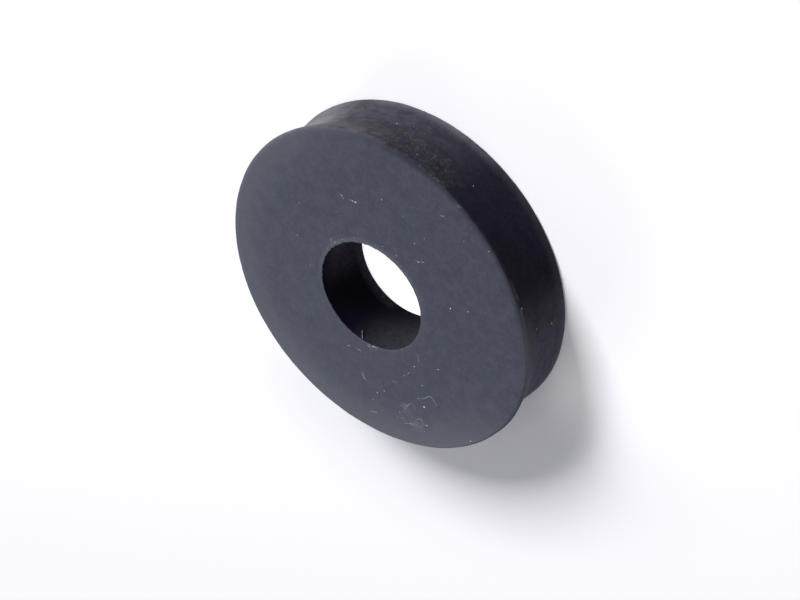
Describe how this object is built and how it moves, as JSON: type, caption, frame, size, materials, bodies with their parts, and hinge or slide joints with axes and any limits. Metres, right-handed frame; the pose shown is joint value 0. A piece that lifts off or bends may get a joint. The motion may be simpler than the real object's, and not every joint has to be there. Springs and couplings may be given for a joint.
{
  "type": "handlebar riser rubber disc",
  "caption": "Thick flat rubber washer that damps and spaces a handlebar riser on its bolt, with a plain round hole and a slightly hollow die-cut rim.",
  "frame": {"origin": "centre of the lower flat face, on the axis of the bolt hole", "axes": "+Z along the axis of the bolt hole, out of the upper flat face; the disc is the same all round, so +X and +Y point anywhere across it"},
  "size_m": [0.038, 0.038, 0.0075],
  "materials": {
    "black_rubber": "matte"
  },
  "bodies": {
    "root": {"rubber_disc": "black_rubber"}
  },
  "joints": []
}
